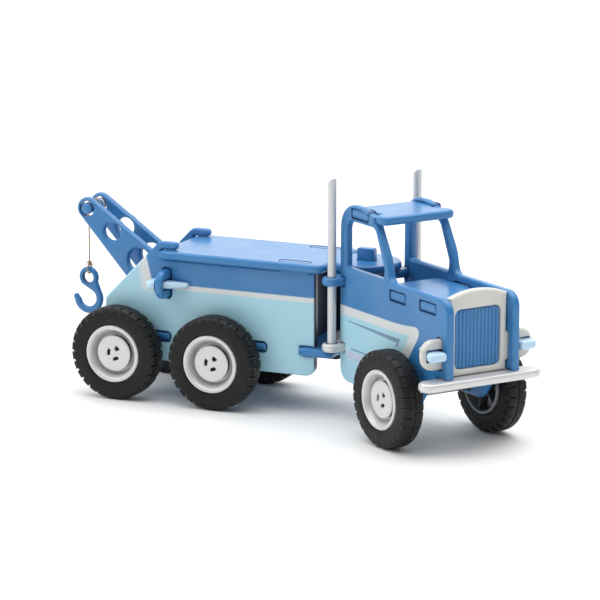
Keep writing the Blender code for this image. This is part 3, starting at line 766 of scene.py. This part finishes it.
def tyre_points():
    """(radius, share of the half width, depth of the groove between two lugs) round the tyre."""
    wall = [(TYRE_BORE, 0.80, 0), (20.9, 0.92, 0), (22.2, 0.985, 0), (24.4, 1.0, 0), (27.0, 0.99, 0),
            (28.6, 0.97, 0), (29.3, 0.965, 0.2), (30.2, 0.95, 1.1), (31.3, 0.90, 1.5), (32.3, 0.79, 1.6),
            (32.85, 0.64, 1.6), (33.0, 0.48, 1.5), (33.0, 0.36, 1.2), (33.0, 0.33, 0.0),
            (33.0, 0.08, 0), (32.5, 0.05, 0), (32.4, 0.0, 0)]
    other = [(radius, -share, groove) for radius, share, groove in reversed(wall[:-1])]
    return wall + other


def tyre(name, side, body, matrix):
    mid = (WHEEL_FACE + WHEEL_BACK) / 2
    half = (WHEEL_FACE - WHEEL_BACK) / 2
    mesh = bmesh.new()
    rings = []
    points = tyre_points()
    for lug in range(LUGS):
        for turn, depth in LUG_STEPS:
            ring = []
            for radius, share, groove in points:
                # Lugs of the two shoulders are half a pitch apart
                stagger = 0.5 if share < 0 else 0.0
                angle = 2 * math.pi * (lug + turn + stagger) / LUGS
                sunk = groove * depth
                r = radius - sunk * (0.55 if abs(share) > 0.9 else 1.0)
                y = side * (mid + half * share - math.copysign(sunk * 0.35, share))
                ring.append(mesh.verts.new((r * math.cos(angle), y, r * math.sin(angle))))
            rings.append(ring)
    count = len(points)
    for number, (one, two) in enumerate(zip(rings, rings[1:] + rings[:1])):
        for i in range(count):
            j = (i + 1) % count
            wall = mesh.faces.new((one[i], one[j], two[j], two[i]))
            # Walls between lugs at the shoulders take a lighter, glossier rubber: the lighter colour is
            # a painted highlight on the lug edges, the gloss is real
            wall.material_index = int(number % len(LUG_STEPS) in (0, 2) and points[i][2] > 0)
    return finish_piece(mesh, f"{name}_treaded", "rubber", body, matrix, "rubber", name, sharp=30.0,
                        second="lug_highlight")


def ring_piece(name, profile, side, body, matrix, material, slot, *nodes, closed=True, sharp=35.0):
    mesh = turned([(radius, side * y) for radius, y in profile], closed=closed)
    return finish_piece(mesh, name, material, body, matrix, slot, *nodes, sharp=sharp)


def wheel(name, label, side, body, matrix):
    tyre(f"{name}_tyre_{label}", side, body, matrix)
    face = WHEEL_FACE
    # Bright lip, then a hollow dish down to the hub
    ring_piece(f"{name}_rim_{label}_dish", [
        (2.2, face - 8.6), (2.2, face - 7.4), (13.6, face - 7.4), (14.4, face - 7.1),
        (15.1, face - 6.3), (15.9, face - 4.6), (16.7, face - 2.4), (17.2, face - 1.2),
        (17.8, face - 0.35), (18.6, face + 0.05), (19.5, face), (20.1, face - 0.4),
        (20.35, face - 1.1), (20.35, face - 3.0), (19.6, face - 4.0), (18.0, face - 5.5),
        (16.4, face - 8.6),
    ], side, body, matrix, "rim", "rim", f"{name}_rim_{label}")
    # Back of the wheel: a grey ring, then a dark hub and six dark spokes
    ring_piece(f"{name}_rim_{label}_back_ring", [
        (20.3, face - 4.2), (20.3, WHEEL_BACK - 0.3), (19.9, WHEEL_BACK - 0.9),
        (18.6, WHEEL_BACK - 1.0), (18.2, WHEEL_BACK - 0.6), (17.8, face - 8.8),
        (18.2, face - 5.8), (19.7, face - 4.2),
    ], side, body, matrix, "back_ring", "rim")
    ring_piece(f"{name}_rim_{label}_back_hub", [
        (2.3, face - 8.7), (2.3, 29.7), (2.9, 29.6), (5.6, 29.6), (6.0, 30.0), (6.2, face - 8.7),
    ], side, body, matrix, "dark_plastic", "rim")
    spokes = bmesh.new()
    for index in range(6):
        angle = math.pi * index / 3 + 0.3
        outline = [Vector(p) for p in ((5.6, -1.3), (17.9, -0.9), (17.9, 0.9), (5.6, 1.3))]
        low, high = sorted((side * (WHEEL_BACK + 1.2), side * (face - 8.8)))
        spoke = rounded_board([outline], [0.4], "side", low, high, 2)
        spoke.transform(Matrix.Rotation(-angle, 4, "Y"))
        data = bpy.data.meshes.new("spoke")
        spoke.to_mesh(data)
        spoke.free()
        spokes.from_mesh(data)
        bpy.data.meshes.remove(data)
    finish_piece(spokes, f"{name}_rim_{label}_spokes", "dark_plastic", body, matrix, "rim")
    hub(name, label, side, body, matrix)


HUB_RADIUS = 12.7
HUB_FACE = WHEEL_FACE - 2.65
HUB_THICKNESS = 1.7
HUB_SLOT_RADIUS = 4.1
# Angle, half sweep and half width of each slot
HUB_SLOTS = ((171.0, 32.0, 1.25), (56.0, 22.0, 1.6), (-68.0, 30.0, 1.25))


def hub(name, label, side, body, matrix):
    """Disc in the middle of the dish, with three short curved slots round its centre."""
    loops = [circle(HUB_RADIUS, 64)]
    for place, half_sweep, width in HUB_SLOTS:
        centre = math.radians(place if side < 0 else 180 - place)
        sweep = math.radians(half_sweep)
        inner, outer = HUB_SLOT_RADIUS - width, HUB_SLOT_RADIUS + width
        slot = []
        for step in range(9):
            t = centre - sweep + 2 * sweep * step / 8
            slot.append(Vector((inner * math.cos(t), inner * math.sin(t))))
        for step in range(9):
            t = centre + sweep - 2 * sweep * step / 8
            slot.append(Vector((outer * math.cos(t), outer * math.sin(t))))
        slot = fine(round_corners(slot, width * 0.95), 2)
        loops.append(slot if area_of(slot) < 0 else slot[::-1])
    low, high = sorted((side * (HUB_FACE - HUB_THICKNESS), side * HUB_FACE))
    mesh = rounded_board(loops, [0.75, 0.3, 0.3, 0.3], "side", low, high)
    finish_piece(mesh, f"{name}_hub_{label}_cap", "rim", body, matrix, "rim", f"{name}_hub_{label}")
    # A near-black disc behind the hub's slots: painted shade seen through them
    ring_piece(f"{name}_hub_{label}_well", [
        (0.0, WHEEL_FACE - 7.2), (12.1, WHEEL_FACE - 7.2), (12.1, HUB_FACE - HUB_THICKNESS - 0.1),
        (0.0, HUB_FACE - HUB_THICKNESS - 0.1),
    ], side, body, matrix, "well_shade", "rim", closed=False)


def build_wheels():
    for name, joint in (("rearmost", "rearmost_spin"), ("middle", "middle_spin"),
                        ("front", "front_spin")):
        turn = CAB_TURN if name == "front" else 0.0
        matrix = Matrix.Translation(JOINTS[joint]["pos_m"]) @ Matrix.Rotation(turn, 4, "Z")
        body = JOINTS[joint]["child"]
        for label, side in (("right", -1), ("left", 1)):
            wheel(name, label, side, body, matrix)
        reach = WHEEL_FACE - 5.4
        ring_piece(f"{name}_axle_rod", [
            (0.0, -reach), (1.5, -reach), (2.0, -reach + 0.5), (2.0, reach - 0.5), (1.5, reach),
            (0.0, reach),
        ], 1, body, matrix, "axle_steel", "steel", f"{name}_axle", closed=False)


# Grille, stacks, boom fittings and the tow line

GRILLE_FACE = 42.8
GRILLE_HALF = 17.7
GRILLE_LOW = 58.6
GRILLE_HIGH = 97.9
GRILLE_CORNER = 4.2
GRILLE_BACK = GRILLE_FACE - 4.3
RIBS = 12
RIB_DEPTH = 0.9
RIB_EASE = 0.5


def grille_ribs():
    """Upright ribs with rounded backs, trimmed to the opening's rounded corners."""
    mesh = bmesh.new()
    columns = []
    steps = 8
    total = RIBS * steps
    for i in range(total + 1):
        y = -GRILLE_HALF + 2 * GRILLE_HALF * i / total
        swell = abs(math.sin(math.pi * i / steps)) ** 0.6
        past = max(0.0, abs(y) - (GRILLE_HALF - GRILLE_CORNER))
        trim = GRILLE_CORNER - math.sqrt(max(0.0, GRILLE_CORNER**2 - past**2))
        low, high = GRILLE_LOW + trim, GRILLE_HIGH - trim
        front = GRILLE_FACE - RIB_DEPTH * (1 - swell)
        outline = [(GRILLE_BACK, low), (front - RIB_EASE, low), (front, low + RIB_EASE),
                   (front, high - RIB_EASE), (front - RIB_EASE, high), (GRILLE_BACK, high)]
        columns.append([mesh.verts.new((x, y, z)) for x, z in outline])
    for one, two in zip(columns, columns[1:]):
        for i in range(6):
            j = (i + 1) % 6
            mesh.faces.new((one[i], one[j], two[j], two[i]))
    mesh.faces.new(columns[0])
    mesh.faces.new(columns[-1])
    finish_piece(mesh, "grille_ribs", "blue", "cab", CAB, "blue", "grille_insert", sharp=50.0)


# The stacks stand 9.8 mm ahead of the pivot, which is 90.4 mm behind the front axle
STACK_BEHIND = 9.8 - 90.4
STACK_SIDE = 34.6
STACK_RADIUS = 3.0
STACK_SLANT = 0.82


def exhaust_stacks():
    """Thin-walled tubes, cut on a slant that is higher in front."""
    low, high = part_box("exhaust_stack_right")
    radius = STACK_RADIUS
    bottom, top = low.z / MM, high.z / MM - STACK_SLANT * radius
    for label, side in (("right", -1), ("left", 1)):
        mesh = bmesh.new()
        # Radius, height and whether the slant cuts there, up the outside and down the inside
        walls = [(radius, bottom, 0), (radius, top - 0.35, 1), (radius - 0.3, top, 1),
                 (radius - 0.75, top - 0.2, 1), (radius - 0.85, top - 8, 1), (radius - 0.85, bottom, 0)]
        count = 48
        rings = []
        for r, z, tilted in walls:
            ring = []
            for i in range(count):
                t = 2 * math.pi * i / count
                x, y = r * math.cos(t), r * math.sin(t)
                ring.append(mesh.verts.new((x, y, z + tilted * STACK_SLANT * x)))
            rings.append(ring)
        for one, two in zip(rings, rings[1:] + rings[:1]):
            for i in range(count):
                j = (i + 1) % count
                mesh.faces.new((one[i], one[j], two[j], two[i]))
        place = CAB @ Matrix.Translation((STACK_BEHIND * MM, side * STACK_SIDE * MM, 0))
        finish_piece(mesh, f"exhaust_stack_{label}_tube", "steel", "cab", place, "steel",
                     f"exhaust_stack_{label}")


DOWEL = (-210.2, 127.0)
DOWEL_RADIUS = 4.1
DOME_RISE = 2.0
BOOM_OUTER = 13.0


def dowel():
    """Winch dowel with a domed head at each end."""
    half = BOOM_OUTER - 0.4
    dome = []
    for step in range(7):
        t = math.pi / 2 * step / 6
        dome.append((DOWEL_RADIUS * math.cos(t), half + DOME_RISE * math.sin(t)))
    dome[-1] = (0.0, dome[-1][1])
    profile = [(r, -y) for r, y in reversed(dome)] + dome
    matrix = REAR @ Matrix.Translation((DOWEL[0] * MM, 0, DOWEL[1] * MM))
    ring_piece("winch_dowel_domed", profile, 1, "winch", matrix, "blue", "blue", "winch_dowel",
               closed=False)
    ring_piece("winch_dowel_ring", [
        (4.0, 5.0), (4.5, 5.0), (4.7, 5.2), (4.7, 6.1), (4.5, 6.3), (4.0, 6.3),
    ], 1, "winch", matrix, "cream", "cream")


STRING_RADIUS = 0.6
STRING_GAP = 0.3
STRING_WRAP = DOWEL_RADIUS + STRING_GAP + STRING_RADIUS
KNOT_Z = 84.9
KNOT_RADIUS = 1.1


def string_route():
    """Centre line over the dowel from its front and straight down to the knot, in REAR."""
    x, z = DOWEL
    wrap = 8
    points = []
    for step in range(wrap + 1):
        t = math.pi * step / wrap
        points.append(Vector((x + STRING_WRAP * math.cos(t), 0.0, z + STRING_WRAP * math.sin(t))))
    drop = z - (KNOT_Z + KNOT_RADIUS + STRING_GAP)
    fall = 6
    for step in range(1, fall + 1):
        points.append(Vector((x - STRING_WRAP, 0.0, z - drop * step / fall)))
    return points


def strand(mesh, route, radius, offset, phase, pitch, count=6, closed=False):
    """One ply that winds round the route at the offset, a full turn every pitch."""
    fine_route = []
    step = 0.3
    pairs = list(zip(route, route[1:] + route[:1])) if closed else list(zip(route, route[1:]))
    for start, end in pairs:
        parts = max(1, round((end - start).length / step))
        fine_route += [start.lerp(end, i / parts) for i in range(parts)]
    if not closed:
        fine_route.append(route[-1])
    total = len(fine_route)
    rings = []
    travelled = 0.0
    length = sum((fine_route[(i + 1) % total] - fine_route[i]).length
                 for i in range(total if closed else total - 1))
    turns = max(1, round(length / pitch))
    for i, point in enumerate(fine_route):
        ahead = fine_route[(i + 1) % total] if closed or i + 1 < total else point
        behind = fine_route[i - 1] if closed or i > 0 else point
        along = (ahead - behind).normalized()
        side = along.cross(Vector((0, 1, 0)))
        if side.length < 0.3:
            side = along.cross(Vector((1, 0, 0)))
        side.normalize()
        up = along.cross(side)
        t = phase + 2 * math.pi * travelled / length * turns
        centre = point + (side * math.cos(t) + up * math.sin(t)) * offset
        ring = []
        for k in range(count):
            s = 2 * math.pi * k / count
            ring.append(mesh.verts.new(centre + (side * math.cos(s) + up * math.sin(s)) * radius))
        rings.append(ring)
        travelled += (ahead - point).length
    links = list(zip(rings, rings[1:]))
    if closed:
        links.append((rings[-1], rings[0]))
    for one, two in links:
        for k in range(count):
            j = (k + 1) % count
            mesh.faces.new((one[k], one[j], two[j], two[k]))
    if not closed:
        mesh.faces.new(rings[0])
        mesh.faces.new(rings[-1])


def twisted(name, route, body, *nodes, closed=False, radius=0.36, offset=0.26, pitch=2.4):
    mesh = bmesh.new()
    for phase in (0.0, math.pi):
        strand(mesh, route, radius, offset, phase, pitch, closed=closed)
    return finish_piece(mesh, name, "twine", body, REAR, "string", *nodes, sharp=70.0)


HOOK_BAR_Z = 80.4
LOOP_HALF_WIDTH = 3.1
LOOP_HALF_HEIGHT = 2.9
LOOP_SQUARENESS = 0.7
KNOT_WIDTH = 0.36
KNOT_RISE = 0.9
FRAYED_FIBRES = 16


def tow_line():
    route = string_route()
    line = twisted("tow_twine", route, "tow_line", "tow_string")
    x = DOWEL[0] - STRING_WRAP
    loop = []
    for i in range(28):
        t = 2 * math.pi * i / 28
        wide, tall = math.cos(t), math.sin(t)
        y = math.copysign(abs(wide) ** LOOP_SQUARENESS, wide) * LOOP_HALF_WIDTH
        z = math.copysign(abs(tall) ** LOOP_SQUARENESS, tall) * LOOP_HALF_HEIGHT
        loop.append(Vector((x, y, HOOK_BAR_Z + z)))
    ring = twisted("hook_loop", loop, "tow_line", "string_loop", closed=True)
    # Overhand knot: a trefoil of the same twine, with loose fibres sticking out of it
    knot = []
    for i in range(40):
        t = 2 * math.pi * i / 40
        knot.append(Vector((
            x + KNOT_WIDTH * (math.sin(t) + 2 * math.sin(2 * t)),
            KNOT_WIDTH * (math.cos(t) - 2 * math.cos(2 * t)),
            KNOT_Z + 0.1 - KNOT_RISE * math.sin(3 * t),
        )))
    tied = twisted("tow_knot", knot, "tow_line", "string_knot", closed=True, radius=0.42, offset=0.3)
    ends = bmesh.new()
    spread = random.Random(7)
    for i in range(FRAYED_FIBRES):
        angle = spread.uniform(-0.9, 0.9) + (0.0 if i % 2 else math.pi)
        far = spread.uniform(2.0, 3.4)
        start = Vector((x, 0, KNOT_Z))
        lean = Vector((math.cos(angle), math.sin(angle) * 0.6, spread.uniform(-0.6, 0.5)))
        bend = start + lean * far * 0.6
        tip = start + lean * far + Vector((0, 0, spread.uniform(-0.8, 0.3)))
        strand(ends, [start, bend, tip], 0.17, 0.0, 0.0, 2.4, count=5)
    frayed = finish_piece(ends, "frayed_end", "twine", "tow_line", REAR, "string", sharp=70.0)


MATERIALS = make_materials()
add_camera()
add_world()
add_floor()
add_light("key", 12, (-1.5, -1.0, 1.3), 1.2)
add_light("top", 24, (0.2, 0.3, 1.9), 2.0)
build_boards()
board("tow_hook", "rear", "side", "blue", "blue", depth=1.9, body="hook")
build_wheels()
grille_ribs()
exhaust_stacks()
dowel()
tow_line()
